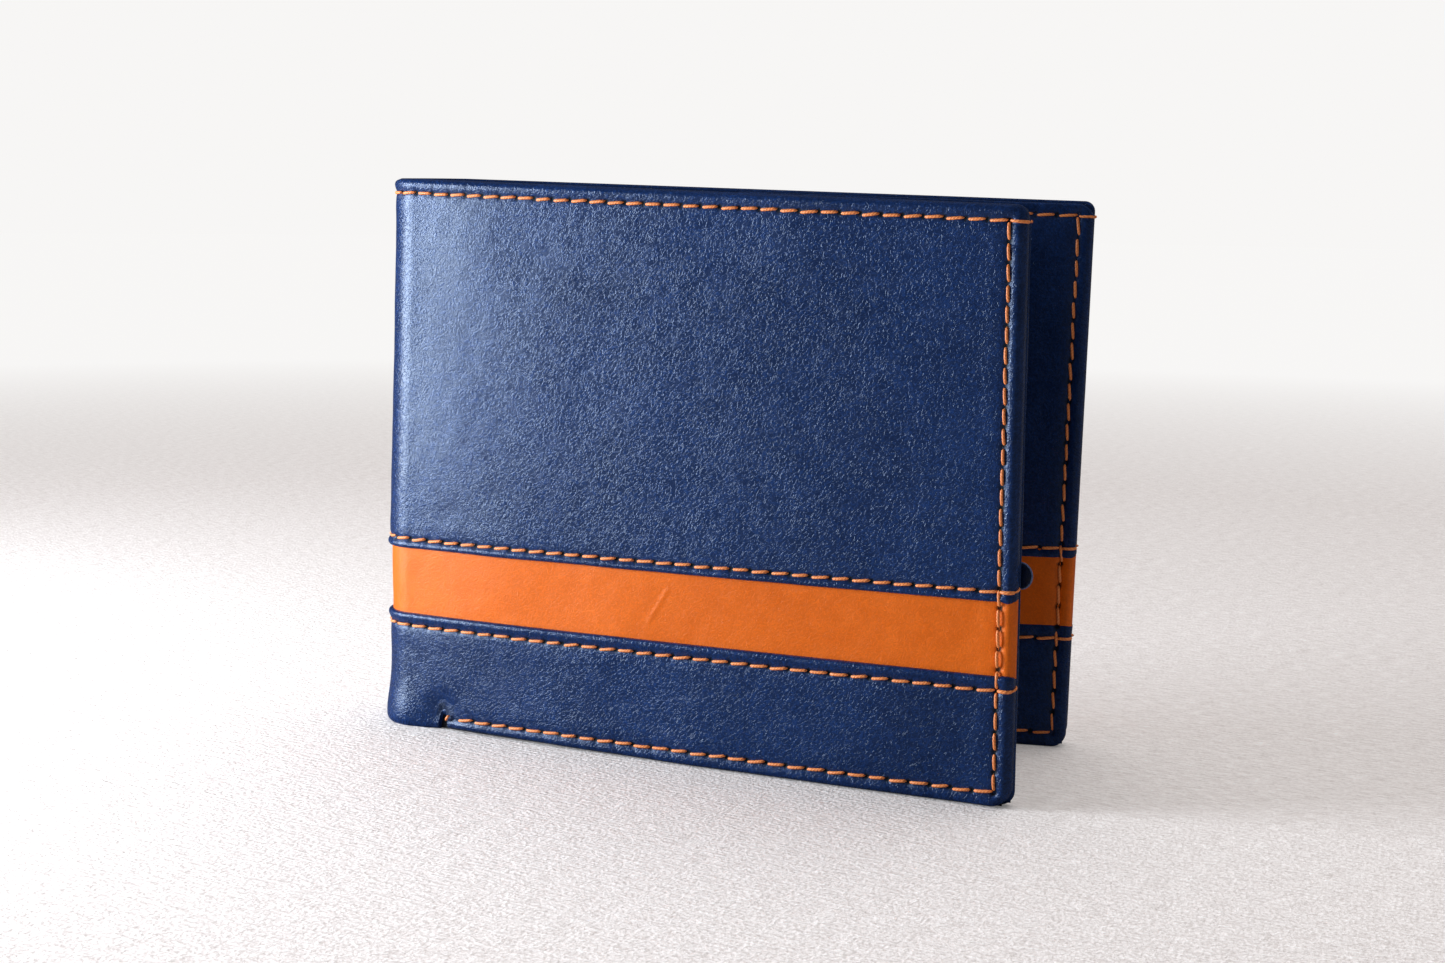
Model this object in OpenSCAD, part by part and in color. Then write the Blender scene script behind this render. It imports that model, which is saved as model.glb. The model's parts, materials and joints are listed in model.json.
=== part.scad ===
// Bifold wallet standing open in a V on its long bottom edge.
// +X runs from the spine to the free edges, +Z is up, and the front leaf lies on the -Y side.
// The origin is on the floor, in the middle of the wallet's length and width.

/* [Leaves] */
// Height of the wallet
height = 93; // [85:1:105]
// Length of one leaf, from the end of the spine's bend to the free edge
leaf_len = 110; // [95:1:120]
// Angle between each leaf and the middle plane as the wallet stands
half_angle = 6.7; // [5:0.1:20]
// Rounding of the bottom corner at the free edge
low_corner_r = 3; // [1:0.5:6]
// Rounding of the top corner at the free edge
top_corner_r = 1; // [0.5:0.5:3]

/* [Spine] */
// Half the width of the flat strip between the two bends
spine_half_flat = 3; // [2:0.5:6]
// Outer radius of each bend
bend_r = 7; // [6:0.5:10]

/* [Colour band] */
// Height of the band's lower edge
band_low = 20.3; // [15:0.1:30]
// Visible width of the band
band_w = 11.4; // [8:0.1:15]
// How far the band reaches under the panels above and below it
band_lap = 3; // [2:0.5:4]
// Distance from the upper panel's edge to its seam
upper_seam_inset = 1.6; // [1.2:0.1:2.4]
// Distance from the lower panel's edge to its seam
lower_seam_inset = 2.2; // [1.2:0.1:2.4]

/* [Layers] */
// Thickness of the outer leather
cover_t = 1; // [0.8:0.1:1.2]
// Thickness of the card stiffener glued behind the leather
stiffener_t = 0.25; // [0.2:0.05:0.4]
// Thickness of each cloth lining
lining_t = 0.25; // [0.2:0.05:0.3]
// Space for banknotes between the cover and the inner wall
note_gap = 0.5; // [0.4:0.1:1]
// Thickness of one pocket panel with its seam allowance
pocket_t = 0.4; // [0.4:0.05:0.6]
// Thickness of the inner face panel
face_t = 0.6; // [0.5:0.05:0.8]
// Room for a card and the pull strap in the front leaf's outer pocket
strap_room = 1; // [0.9:0.1:1.4]

/* [Stitching] */
// Distance of the edge stitching from the edge
stitch_inset = 2.4; // [2:0.1:3]
// Thickness of the thread
thread_w = 0.6; // [0.4:0.1:0.8]
// How far the thread stands out of the leather
thread_proud = 0.25; // [0.1:0.05:0.3]

/* [Pull strap] */
// Height of the strap's middle line
strap_z = 35.4; // [34:0.1:50]
// Width of the strap and of its round tab
strap_w = 4.2; // [3:0.1:8]
// How far the tab stands out past the free edge
tab_out = 1.3; // [1:0.1:4]
// Length of the strap
strap_len = 62; // [50:1:75]
// Thickness of the strap
strap_t = 0.3; // [0.2:0.05:0.35]

/* [Hidden] */
$fn = 96;
// Angle that each bend turns through, and the share of it that goes with the spine
bend_turn = 90 - half_angle;
fold_at = bend_turn / 2;
// Distance of each fold's axis outside the leather, and the angle a leaf closes by from rest
axis_out = 0.11 * bend_r;
closing = 8.9;
// Free gap at a fold when the wallet is shut
fold_gap = 0.12;
// Depths of the layers below the outer face
stiffener_n = cover_t;
lining_n = cover_t + stiffener_t;
gap_n = lining_n + lining_t;
wall_n = gap_n + note_gap;
skin_t = 0.3;
rear_n = wall_n + skin_t;
mid_n = rear_n + pocket_t;
back_face_n = mid_n + pocket_t;
back_inner_n = back_face_n + face_t;
front_mid_t = 0.6;
front_base_n = mid_n + front_mid_t;
front_face_n = front_base_n + strap_room;
front_face_t = 0.55;
front_inner_n = front_face_n + front_face_t;
strap_clear = 0.35;
strap_n = front_base_n + strap_clear;
// Widths of turned edges and seam allowances
turn_w = 0.8;
hem_w = 1.2;
board_gap = 0.2;
allowance = 3.6;
// Where the pocket mouths lie, measured along the leaf
back_rear_s = leaf_len - 84;
back_mid_s = leaf_len - 72;
back_face_s = leaf_len - 60;
front_rear_s = 6;
front_mid_s = 14;
front_face_s = 20;
front_mouth_s = leaf_len - 9;
// Heights
inner_drop = 0.5;
inner_top = height - inner_drop;
band_top = band_low + band_w;
upper_seam_z = band_top + upper_seam_inset;
lower_seam_z = band_low - lower_seam_inset;
band_sunk = 0.2;
notch_w = 1.8;
notch_s = 7.2;
notch_h = 2.5;
// Length from the spine's outer face to the tab's tip, which sets the origin
tip_s = leaf_len + tab_out;
tip_x = bend_r - bend_r * sin(half_angle) + tip_s * cos(half_angle) + (strap_n + strap_t) * sin(half_angle);
spine_x = -(tip_x - thread_proud) / 2;

NAVY = [0.13, 0.2, 0.37];
ORANGE = [0.85, 0.38, 0.13];
THREAD = [0.93, 0.55, 0.3];
LINING = [0.07, 0.09, 0.16];
BOARD = [0.45, 0.42, 0.38];

// Places the front leaf: X runs along the leaf from the bend, Y is depth below its outer face.
module on_front() {
    translate([spine_x + bend_r, -spine_half_flat, 0])
        rotate([0, 0, -half_angle])
            translate([0, -bend_r, 0])
                children();
}

// Places the back leaf as the front leaf's mirror image.
module on_back() {
    mirror([0, 1, 0]) on_front() children();
}

// A flat layer of the leaf between two depths, with its outline as the child.
module layer(n0, n1) {
    translate([0, n1, 0])
        rotate([90, 0, 0])
            linear_extrude(n1 - n0)
                children();
}

// The leaf's outline from s0 to s1, cut to a height band.
module outline(s0, s1, z0 = 0, z1 = height) {
    intersection() {
        union() {
            translate([s0, low_corner_r])
                square([s1 - s0, height - low_corner_r - top_corner_r]);
            translate([s0, 0])
                square([s1 - s0 - low_corner_r, low_corner_r + 0.5]);
            translate([s0, height - top_corner_r - 0.5])
                square([s1 - s0 - top_corner_r, top_corner_r + 0.5]);
            translate([s1 - low_corner_r, low_corner_r])
                circle(low_corner_r);
            translate([s1 - top_corner_r, height - top_corner_r])
                circle(top_corner_r);
        }
        translate([s0, z0])
            square([s1 - s0, z1 - z0]);
    }
}

// A curved layer about the bend's own axis, from one angle to another.
module curve(n0, n1, z0, z1, from, to) {
    rotate([0, 0, from])
        rotate_extrude(angle = to - from)
            translate([bend_r - n1, z0])
                square([n1 - n0, z1 - z0]);
}

// The angle a leaf's layer keeps clear of the spine at the fold, so that it can close.
function fold_clear(n1) = ((n1 + axis_out) * tan(closing + 1) + fold_gap) / (bend_r - n1) * 180 / PI;

// The leaf's share of the bend.
module leaf_curve(n0, n1, z0, z1) {
    translate([0, bend_r, 0])
        mirror([1, 0, 0])
            curve(n0, n1, z0, z1, -90, fold_at - fold_clear(n1) - 90);
}

// A layer that covers the leaf's share of the bend and its flat part up to s1.
module leaf_wall(n0, n1, z0, z1, s1 = leaf_len) {
    leaf_curve(n0, n1, z0, z1);
    layer(n0, n1) outline(0, s1, z0, z1);
}

// A layer of the spine: a flat strip and a curve at each side.
module spine_wall(n0, n1, z0, z1) {
    translate([spine_x + n0, -spine_half_flat, z0])
        cube([n1 - n0, 2 * spine_half_flat, z1 - z0]);
    for (side = [0, 1])
        mirror([0, side, 0])
            translate([spine_x + bend_r, -spine_half_flat, 0])
                curve(n0, n1, z0, z1, 180, 180 + fold_at);
}

// A cover panel above or below the band: full thickness, with a thin lap over the band.
module cover_panel(z0, z1, lap0, lap1) {
    leaf_wall(0, cover_t, z0, z1);
    leaf_wall(0, cover_t / 2, lap0, lap1);
    side_turn(0, z0, z1);
    side_turn(0, lap0, lap1);
}

// The leather turned round the free edge, from depth n0 down to the inner wall.
module side_turn(n0, z0, z1) {
    layer(n0, wall_n)
        intersection() {
            outline(0, leaf_len, z0, z1);
            translate([leaf_len - turn_w, 0]) square([turn_w, height]);
        }
}

module upper_cover() {
    cover_panel(band_top + band_lap, height, band_top, band_top + band_lap);
    layer(0, gap_n) outline(0, leaf_len, height - hem_w, height);
    leaf_curve(0, gap_n, height - hem_w, height);
}

module band_strip() {
    leaf_wall(cover_t / 2, cover_t, band_low - band_lap, band_top + band_lap, leaf_len - turn_w);
    layer(cover_t / 2, cover_t) outline(0, leaf_len, band_low, band_top);
    side_turn(cover_t / 2, band_low, band_top);
}

module lower_cover() {
    difference() {
        union() {
            cover_panel(0, band_low - band_lap, band_low - band_lap, band_low);
            layer(0, wall_n) outline(notch_s + notch_w / 2, leaf_len, 0, turn_w);
        }
        notch();
    }
}

// The small cut in the bottom edge where the stitching starts.
module notch() {
    layer(-1, wall_n + 1)
        union() {
            translate([notch_s - notch_w / 2, -1]) square([notch_w, notch_h + 1 - notch_w / 2]);
            translate([notch_s, notch_h - notch_w / 2]) circle(notch_w / 2);
        }
}

module stiffener() {
    layer(stiffener_n, lining_n) outline(front_rear_s, leaf_len - allowance, allowance, height - allowance);
}

// Cloth behind the cover, thicker round the stiffener where the layers are sewn together.
module lining() {
    leaf_wall(lining_n, gap_n, turn_w, height - hem_w, leaf_len - turn_w);
    layer(stiffener_n, lining_n)
        difference() {
            outline(0, leaf_len - turn_w, turn_w, height - hem_w);
            translate([front_rear_s - board_gap, allowance - board_gap])
                square([
                    leaf_len - allowance - front_rear_s + 2 * board_gap,
                    height - 2 * allowance + 2 * board_gap
                ]);
        }
    leaf_curve(stiffener_n, lining_n, turn_w, height - hem_w);
}

// The banknote pocket's inner wall, closed at the bottom and at the free edge and open at the top.
module note_wall() {
    leaf_wall(wall_n, rear_n, notch_h, inner_top);
    layer(wall_n, rear_n) outline(notch_s + notch_w, leaf_len, 0, notch_h);
    layer(gap_n, wall_n)
        difference() {
            outline(notch_s + notch_w, leaf_len - turn_w, turn_w, inner_top);
            translate([0, allowance]) square([leaf_len - allowance, height]);
        }
}

// A pocket panel from s0 to s1: the edges lie on the layer below, and the middle leaves room for a card.
module pocket_panel(n0, n1, s0, s1, open_s0, open_s1) {
    layer(n1 - skin_t, n1) outline(s0, s1, 0, inner_top);
    layer(n0, n1 - skin_t)
        difference() {
            outline(s0, s1, 0, inner_top);
            translate([open_s0, allowance]) square([open_s1 - open_s0, inner_top - 2 * allowance]);
        }
}

// One piece of the inner face between two heights, on a foot that reaches down to depth foot_n round the pocket.
module face_piece(foot_n, n0, n1, s0, s1, open_s0, open_s1, z0, z1) {
    layer(n0, n1)
        face_cut(s0, s1, z0, z1);
    if (foot_n < n0)
        layer(foot_n, n0)
            difference() {
                face_cut(s0, s1, z0, z1);
                translate([open_s0, allowance])
                    square([open_s1 - open_s0, inner_top - 2 * allowance]);
            }
}

module face_cut(s0, s1, z0, z1) {
    intersection() {
        face_outline(s0, s1);
        translate([s0, z0])
            square([s1 - s0, z1 - z0]);
    }
}

// The inner face's outline: rounded where it reaches the free edge, square where it ends at a mouth.
module face_outline(s0, s1) {
    if (s1 < leaf_len) {
        translate([s0, 0]) square([s1 - s0, inner_top]);
    } else {
        outline(s0, s1, 0, inner_top);
    }
}

// A straight run of thread along the leaf at one height.
module thread_run(n0, n1, s0, s1, z) {
    layer(n0, n1) translate([s0, z - thread_w / 2]) square([s1 - s0, thread_w]);
}

// The edge stitching on one face: along the top, down the free edge and back along the bottom.
module thread_frame(n0, n1, s0, s_low, top) {
    side_s = leaf_len - stitch_inset;
    layer(n0, n1)
        union() {
            translate([s0, top - thread_w / 2]) square([side_s - s0 + thread_w / 2, thread_w]);
            translate([s_low, stitch_inset - thread_w / 2]) square([side_s - s_low + thread_w / 2, thread_w]);
            translate([side_s - thread_w / 2, stitch_inset]) square([thread_w, top - stitch_inset]);
        }
}

module edge_thread(inner_n, inner_s) {
    top_z = height - stitch_inset;
    color(THREAD) {
        thread_frame(-thread_proud, 0, 0, notch_s + notch_w, top_z);
        leaf_curve(-thread_proud, 0, top_z - thread_w / 2, top_z + thread_w / 2);
        thread_frame(inner_n, inner_n + thread_proud, inner_s, inner_s, inner_top - stitch_inset);
    }
}

// The two seams beside the band, up to the edge stitching.
module seam_thread() {
    seam_end = leaf_len - stitch_inset - thread_w;
    color(THREAD)
        for (z = [upper_seam_z, lower_seam_z])
            leaf_wall(-thread_proud, 0, z - thread_w / 2, z + thread_w / 2, seam_end);
}

module inner_thread(inner_n, s0, s1) {
    color(THREAD)
        for (z = [upper_seam_z, lower_seam_z])
            thread_run(inner_n, inner_n + thread_proud, s0, s1, z);
}

module spine_upper_cover() {
    color(NAVY) {
        spine_wall(0, cover_t, band_top + band_lap, height);
        spine_wall(0, cover_t / 2, band_top, band_top + band_lap);
        spine_wall(cover_t, gap_n, height - hem_w, height);
    }
}

module spine_band() {
    color(ORANGE) spine_wall(cover_t / 2, cover_t, band_low - band_lap, band_top + band_lap);
}

module spine_lower_cover() {
    color(NAVY) {
        spine_wall(0, cover_t, 0, band_low - band_lap);
        spine_wall(0, cover_t / 2, band_low - band_lap, band_low);
    }
}

module spine_lining() {
    color(LINING) spine_wall(cover_t, gap_n, turn_w, height - hem_w);
}

module spine_note_wall() {
    color(NAVY) spine_wall(wall_n, rear_n, notch_h, inner_top);
}

module spine_thread() {
    color(THREAD)
        for (z = [height - stitch_inset, upper_seam_z, lower_seam_z])
            spine_wall(-thread_proud, 0, z - thread_w / 2, z + thread_w / 2);
}

module front_mid_panel() {
    pocket_panel(mid_n, front_base_n, front_mid_s, leaf_len, front_mid_s - 1, leaf_len - allowance);
}

module back_mid_panel() {
    pocket_panel(mid_n, back_face_n, back_mid_s, leaf_len, back_mid_s - 1, leaf_len - allowance);
}

// The front leaf's inner face is a pocket for a card and the strap, with its mouth near the free edge.
module front_face(z0, z1, sunk = 0) {
    face_piece(front_base_n, front_face_n, front_inner_n - sunk, front_face_s, front_mouth_s,
               front_face_s + allowance, front_mouth_s + 1, z0, z1);
}

// The back leaf's inner face is a pocket panel with its mouth towards the spine.
module back_face(z0, z1, sunk = 0) {
    face_piece(back_face_n, back_face_n, back_inner_n - sunk, back_face_s, leaf_len,
               back_face_s, leaf_len, z0, z1);
}

// The strap lies flat in the front leaf's outer pocket and comes out of its mouth.
module pull_strap() {
    color(LINING)
        on_front()
            layer(strap_n, strap_n + strap_t)
                translate([tip_s - strap_len, strap_z - strap_w / 2])
                    square([strap_len - strap_w, strap_w]);
}

// A small leather tab with a half-round end, sewn over the strap's end.
module pull_tab() {
    color(NAVY)
        on_front() {
            layer(strap_n + strap_t, strap_n + 2 * strap_t)
                tab_outline();
            layer(strap_n, strap_n + strap_t)
                intersection() {
                    tab_outline();
                    translate([tip_s - strap_w, strap_z - strap_w])
                        square([2 * strap_w, 2 * strap_w]);
                }
        }
}

module tab_outline() {
    translate([tip_s - 3 * strap_w, strap_z - strap_w / 2])
        square([2.5 * strap_w, strap_w]);
    translate([tip_s - strap_w / 2, strap_z])
        circle(strap_w / 2);
}

// Two stitches hold the tab on the strap, outside the pocket's mouth.
module pull_thread() {
    stitch_l = 2.4;
    stitch_pitch = 3.4;
    tab_face_n = strap_n + 2 * strap_t;
    proud = 0.15;
    color(THREAD)
        on_front()
            for (i = [0, 1])
                layer(tab_face_n, tab_face_n + proud)
                    translate([tip_s - 2.1 * strap_w + i * stitch_pitch, strap_z - thread_w / 2])
                        square([stitch_l, thread_w]);
}

spine_upper_cover();
spine_band();
spine_lower_cover();
spine_lining();
spine_note_wall();
spine_thread();
on_front() color(NAVY) upper_cover();  // front_upper_cover
on_front() color(ORANGE) band_strip();  // front_band
on_front() color(NAVY) lower_cover();  // front_lower_cover
on_front() color(BOARD) stiffener();  // front_stiffener
on_front() color(LINING) lining();  // front_lining
on_front() color(NAVY) note_wall();  // front_note_wall
on_front() color(NAVY) pocket_panel(rear_n, mid_n, front_rear_s, leaf_len, 0, leaf_len - allowance);  // front_rear_pocket
on_front() color(NAVY) front_mid_panel();  // front_mid_pocket
on_front() color(NAVY) front_face(band_top, inner_top);  // front_inner_upper
on_front() color(ORANGE) front_face(band_low, band_top, band_sunk);  // front_inner_band
on_front() color(NAVY) front_face(0, band_low);  // front_inner_lower
on_front() edge_thread(front_base_n, front_mouth_s + 1);  // front_edge_thread
on_front() seam_thread();  // front_seam_thread
on_front() inner_thread(front_inner_n, front_face_s, front_mouth_s);  // front_inner_thread
on_back() color(NAVY) upper_cover();  // back_upper_cover
on_back() color(ORANGE) band_strip();  // back_band
on_back() color(NAVY) lower_cover();  // back_lower_cover
on_back() color(BOARD) stiffener();  // back_stiffener
on_back() color(LINING) lining();  // back_lining
on_back() color(NAVY) note_wall();  // back_note_wall
on_back() color(NAVY) pocket_panel(rear_n, mid_n, back_rear_s, leaf_len, 0, leaf_len - allowance);  // back_rear_pocket
on_back() color(NAVY) back_mid_panel();  // back_mid_pocket
on_back() color(NAVY) back_face(band_top, inner_top);  // back_inner_upper
on_back() color(ORANGE) back_face(band_low, band_top, band_sunk);  // back_inner_band
on_back() color(NAVY) back_face(0, band_low);  // back_inner_lower
on_back() edge_thread(back_inner_n, back_face_s);  // back_edge_thread
on_back() seam_thread();  // back_seam_thread
on_back() inner_thread(back_inner_n, back_face_s, leaf_len - stitch_inset - thread_w);  // back_inner_thread
pull_strap();
pull_tab();
pull_thread();
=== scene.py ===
"""A bifold wallet of navy leather with an orange band, standing open on its long edge."""
import json
import math
import bpy
import bmesh
import numpy as np
from mathutils import Matrix, Vector


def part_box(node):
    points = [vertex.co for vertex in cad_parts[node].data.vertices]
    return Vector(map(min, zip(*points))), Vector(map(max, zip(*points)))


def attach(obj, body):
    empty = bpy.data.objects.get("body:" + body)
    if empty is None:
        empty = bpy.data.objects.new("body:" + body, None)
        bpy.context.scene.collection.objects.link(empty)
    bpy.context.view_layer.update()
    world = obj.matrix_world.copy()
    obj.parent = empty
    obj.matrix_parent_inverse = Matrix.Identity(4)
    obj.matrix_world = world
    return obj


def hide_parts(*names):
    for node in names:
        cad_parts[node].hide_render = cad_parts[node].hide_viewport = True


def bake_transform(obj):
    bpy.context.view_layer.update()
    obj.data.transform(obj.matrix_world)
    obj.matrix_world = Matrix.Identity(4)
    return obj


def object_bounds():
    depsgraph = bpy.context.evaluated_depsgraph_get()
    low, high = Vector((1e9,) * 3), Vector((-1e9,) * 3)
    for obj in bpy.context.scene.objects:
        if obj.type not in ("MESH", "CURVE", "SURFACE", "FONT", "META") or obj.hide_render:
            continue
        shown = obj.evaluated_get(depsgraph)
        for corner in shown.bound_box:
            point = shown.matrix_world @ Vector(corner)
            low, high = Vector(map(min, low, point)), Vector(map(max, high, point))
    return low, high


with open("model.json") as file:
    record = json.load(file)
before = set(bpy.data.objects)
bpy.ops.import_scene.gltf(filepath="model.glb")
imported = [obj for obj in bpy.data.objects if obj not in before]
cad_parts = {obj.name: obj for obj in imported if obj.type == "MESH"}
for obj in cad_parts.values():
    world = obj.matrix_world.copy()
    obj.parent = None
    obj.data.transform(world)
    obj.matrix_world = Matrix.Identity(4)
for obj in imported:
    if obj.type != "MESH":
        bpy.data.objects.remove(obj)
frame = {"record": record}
cad_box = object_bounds()

# Sizes are in millimetres up to place(), which gives metres in the frame's axes.
MM = 0.001
QUARTER = math.pi / 2
FAR = 1e6
HEIGHT = cad_box[1].z / MM
SPINE_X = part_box("spine_upper_cover")[0].x / MM
BAND_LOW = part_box("front_inner_band")[0].z / MM
BAND_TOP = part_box("front_inner_band")[1].z / MM
PULL_AXIS = next(j for j in frame["record"]["behaviour"]["joints"] if j["name"] == "strap_pull")["axis"]
HALF_ANGLE = math.atan2(-PULL_AXIS[1], PULL_AXIS[0])
LEAF = 110.0
SPINE_HALF = 3.0
BEND_R = 7.0
BEND = BEND_R * (QUARTER - HALF_ANGLE)
MIDDLE = -BEND - SPINE_HALF
INNER_TOP = HEIGHT - 0.5
LOW_CORNER = 3.4
TOP_CORNER = 1.7
INNER_CORNER = 2.4

# Turned edges: outer radius, inner radius and depth, and how much leather is tucked under
SIDE_TURN = (1.25, 0.35, 2.25)
HEM_TURN = (1.1, 0.4, 1.6)
BAND_TURN = (1.3, 0.4, 1.85)
RIM_TOP_TURN = (0.45, 0.35, 0.9)
TUCK = 2.5
HEM_TUCK = TUCK + 1.2
INNER_TUCK = 1.0
RIM_TUCK = 0.8

# Stitching
INSET = 2.4
UPPER_INSET = 1.6
LOWER_INSET = 2.2
TOP_Z = HEIGHT - INSET
SIDE_SEAM_S = LEAF - INSET
TOP_SEAM = BAND_TOP + UPPER_INSET
LOW_SEAM = BAND_LOW - LOWER_INSET
THREAD_R = 0.25
GROOVE_DEPTH = 0.13
HOLE_DEPTH = 0.2
HOLE_R = 0.42
STITCH_GAP = 0.34
NOTCH_S = 7.2
NOTCH_H = 2.4
NOTCH_HALF = 0.7

# Depths below the outer face, and thicknesses
BAND_SUNK = 0.4
BOARD_N = 1.22
LINING_N = 1.45
WALL_N = 2.3
REAR_N = 2.68
BACK_MID_N = 3.05
FRONT_RIM_N = 3.3
BACK_FACE_N = 3.7
FRONT_FACE_N = 4.85
COVER_T = 0.42
BAND_T = 0.3
PANEL_T = 0.25
POCKET_T = 0.2
WALL_T = 0.22
CLOTH_T = 0.12
BOARD_T = 0.2

# Where the pocket panels begin and the front one ends, along the leaf
FRONT_REAR_S = 6.0
FRONT_MID_S = 14.0
FRONT_FACE_S = 20.0
FRONT_MOUTH = LEAF - 9.0
BACK_REAR_S = LEAF - 84.0
BACK_MID_S = LEAF - 72.0
BACK_FACE_S = LEAF - 60.0
BOARD_S = 6.0
BOARD_INSET = 3.6

# The pull strap and its tab
STRAP_Z = 35.4
STRAP_W = 4.2
STRAP_LEN = 62.0
STRAP_N = FRONT_RIM_N + 0.35
STRAP_T = 0.3
TAB_T = 0.62
TIP_S = LEAF + 1.3

# Unevenness: how far a leaf bellies out, the spine leans, and the top edge and the band rise
BELLY = 1.5
BELLY_SOFT = 3.5
BELLY_REACH = 11.0
BELLY_FADE = (30.0, LEAF + 2.0)
LEAN = 1.6
STRETCH = {"front": 0.4, "back": -0.3}
SHEAR = {"front": 0.0, "back": 2.0}
BAND_MIDDLE = (BAND_LOW + BAND_TOP) / 2
TOP_RISE = {"spine": 1.4, "front": -1.15, "back": -1.0}
BAND_RISE = {"spine": -0.55, "front": 0.4, "back": 0.95}


# ------------ places on the wallet

def ease(x, a, b):
    """A smooth step from 0 at a to 1 at b."""
    t = np.clip((x - a) / (b - a), 0, 1)
    return t * t * (3 - 2 * t)


def settled(side, s, n, z):
    """The small unevenness of a real wallet: each cover bellies out beside the bend, the spine leans
    towards the leaves at the top, and the top edge and the band are not quite level."""
    out = np.clip(s / LEAF, 0, 1)
    onset = BELLY_SOFT * np.log1p(np.exp(np.minimum(s, 2 * LEAF) / BELLY_SOFT))
    fade_from, fade_to = BELLY_FADE
    fade = 1 - np.clip((s - fade_from) / (fade_to - fade_from), 0, 1) ** 2
    belly = BELLY * (1 - np.exp(-onset / BELLY_REACH)) * fade
    belly = belly * (1 - ease(n, LINING_N, WALL_N - 0.3))
    upper = ease(z, BAND_MIDDLE, HEIGHT)
    band = np.minimum(z / BAND_MIDDLE, 1) * (1 - upper)
    spine_rise, free_rise = TOP_RISE["spine"], TOP_RISE[side]
    spine_band, free_band = BAND_RISE["spine"], BAND_RISE[side]
    rise = upper * (spine_rise + (free_rise - spine_rise) * out)
    rise = rise + np.maximum(band, 0) * (spine_band + (free_band - spine_band) * out)
    slip = LEAN * upper * (1 - out) + (STRETCH[side] + SHEAR[side] * z / HEIGHT) * out
    return n - belly, z + rise, slip


def place(side, p):
    """Leaf coordinates (along the leather, depth, height) in mm to metres in the frame."""
    s, n, z = p[..., 0], p[..., 1], p[..., 2]
    n, z, slip = settled(side, s, n, z)
    turn = np.where(s >= 0, -HALF_ANGLE, np.maximum(-HALF_ANGLE + s / BEND_R, -QUARTER))
    along = np.maximum(s, 0)
    across = np.minimum(s + BEND, 0)
    radius = BEND_R - n
    x = SPINE_X + BEND_R + radius * np.sin(turn) + along * math.cos(HALF_ANGLE) + slip
    y = -SPINE_HALF - radius * np.cos(turn) - along * math.sin(HALF_ANGLE) - across
    if side == "back":
        y = -y
    return np.stack([x, y, z], -1) * MM


def follow(run, flat, r_out, r_in, depth):
    """How far out, how far down and at what angle a turned edge is after a run of leather."""
    wall_len = depth - r_out - r_in
    first = np.clip((run - flat) / r_out, 0, QUARTER)
    wall = np.clip(run - flat - QUARTER * r_out, 0, wall_len)
    second = np.clip((run - flat - QUARTER * r_out - wall_len) / r_in, 0, QUARTER)
    back = np.maximum(run - flat - QUARTER * (r_out + r_in) - wall_len, 0)
    out = np.minimum(run, flat) + r_out * np.sin(first) - r_in * (1 - np.cos(second)) - back
    down = r_out * (1 - np.cos(first)) + wall + r_in * np.sin(second)
    return out, down, first + second


def run_length(flat, r_out, r_in, depth, tuck):
    """How much leather a turned edge takes, to the end of what is tucked under."""
    return flat + QUARTER * (r_out + r_in) + depth - r_out - r_in + tuck


class Face:
    """One face of a leaf and the edges that its leather turns round.

    n is the face's depth and facing is 1 outwards or -1 inwards. side_turn and end_turn are the turned
    edge's (outer radius, inner radius, depth) at the free edge and at the bottom or top. A face that
    isn't free has no turned edge at the end of the leaf, and low and high are left out where it has
    none at the bottom or top."""

    def __init__(self, side, n, facing=1, free=True, low=None, high=None, corner=TOP_CORNER,
                 side_turn=SIDE_TURN, end_turn=SIDE_TURN):
        self.side, self.n, self.facing = side, n, facing
        self.corner = corner
        self.s_end = LEAF - corner if free else FAR
        self.low = -FAR if low is None else low + corner
        self.high = FAR if high is None else high - corner
        self.side_turn, self.end_turn = side_turn, end_turn

    def at(self, u, v):
        """Place, outward normal and leather coordinates of points (u, v), all in leaf axes."""
        a = np.maximum(u - self.s_end, 0)
        below = np.maximum(self.low - v, 0)
        b = below + np.maximum(v - self.high, 0)
        up = np.where(below > 0, -1.0, 1.0)
        phi = np.where(a >= b, QUARTER / 2 * b / np.maximum(a, 1e-9),
                       QUARTER - QUARTER / 2 * a / np.maximum(b, 1e-9))
        phi = np.where(np.maximum(a, b) < 1e-9, 0, phi)
        run = np.maximum(a, b)
        share = np.sin(phi) ** 2
        r_out, r_in, depth = [p + (q - p) * share for p, q in zip(self.side_turn, self.end_turn)]
        out, down, angle = follow(run, self.corner - r_out, r_out, r_in, depth)
        s0, z0 = np.minimum(u, self.s_end), np.clip(v, self.low, self.high)
        cos, sin = np.cos(phi), up * np.sin(phi)
        point = np.stack([s0 + out * cos, self.n + self.facing * down, z0 + out * sin], -1)
        tilt = np.sin(angle)
        normal = np.stack([tilt * cos, -self.facing * np.cos(angle), tilt * sin], -1)
        leather = np.stack([s0 + run * cos, z0 + run * sin], -1)
        return point, normal, leather


class Roll:
    """A panel's own border, rolled under: where it lies, and which way it goes (axis 0 along, 2 up)."""

    def __init__(self, axis, way, edge, r_out=0.45, r_in=0.3, depth=0.8, tuck=1.2):
        self.axis, self.way, self.edge = axis, way, edge
        self.r_out, self.r_in, self.depth = r_out, r_in, depth
        self.start = edge - way * r_out
        self.last = self.start + way * run_length(0, r_out, r_in, depth, tuck)

    def apply(self, coordinate, point, normal, leather):
        run = np.maximum(self.way * (coordinate - self.start), 0)
        out, down, angle = follow(run, 0, self.r_out, self.r_in, self.depth)
        direction = np.zeros(3)
        direction[self.axis] = self.way
        point = point + out[..., None] * direction - down[..., None] * normal
        normal = np.cos(angle)[..., None] * normal + np.sin(angle)[..., None] * direction
        leather = leather + (run * self.way)[..., None] * np.array([direction[0] != 0, direction[2] != 0])
        return point, normal, leather


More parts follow.
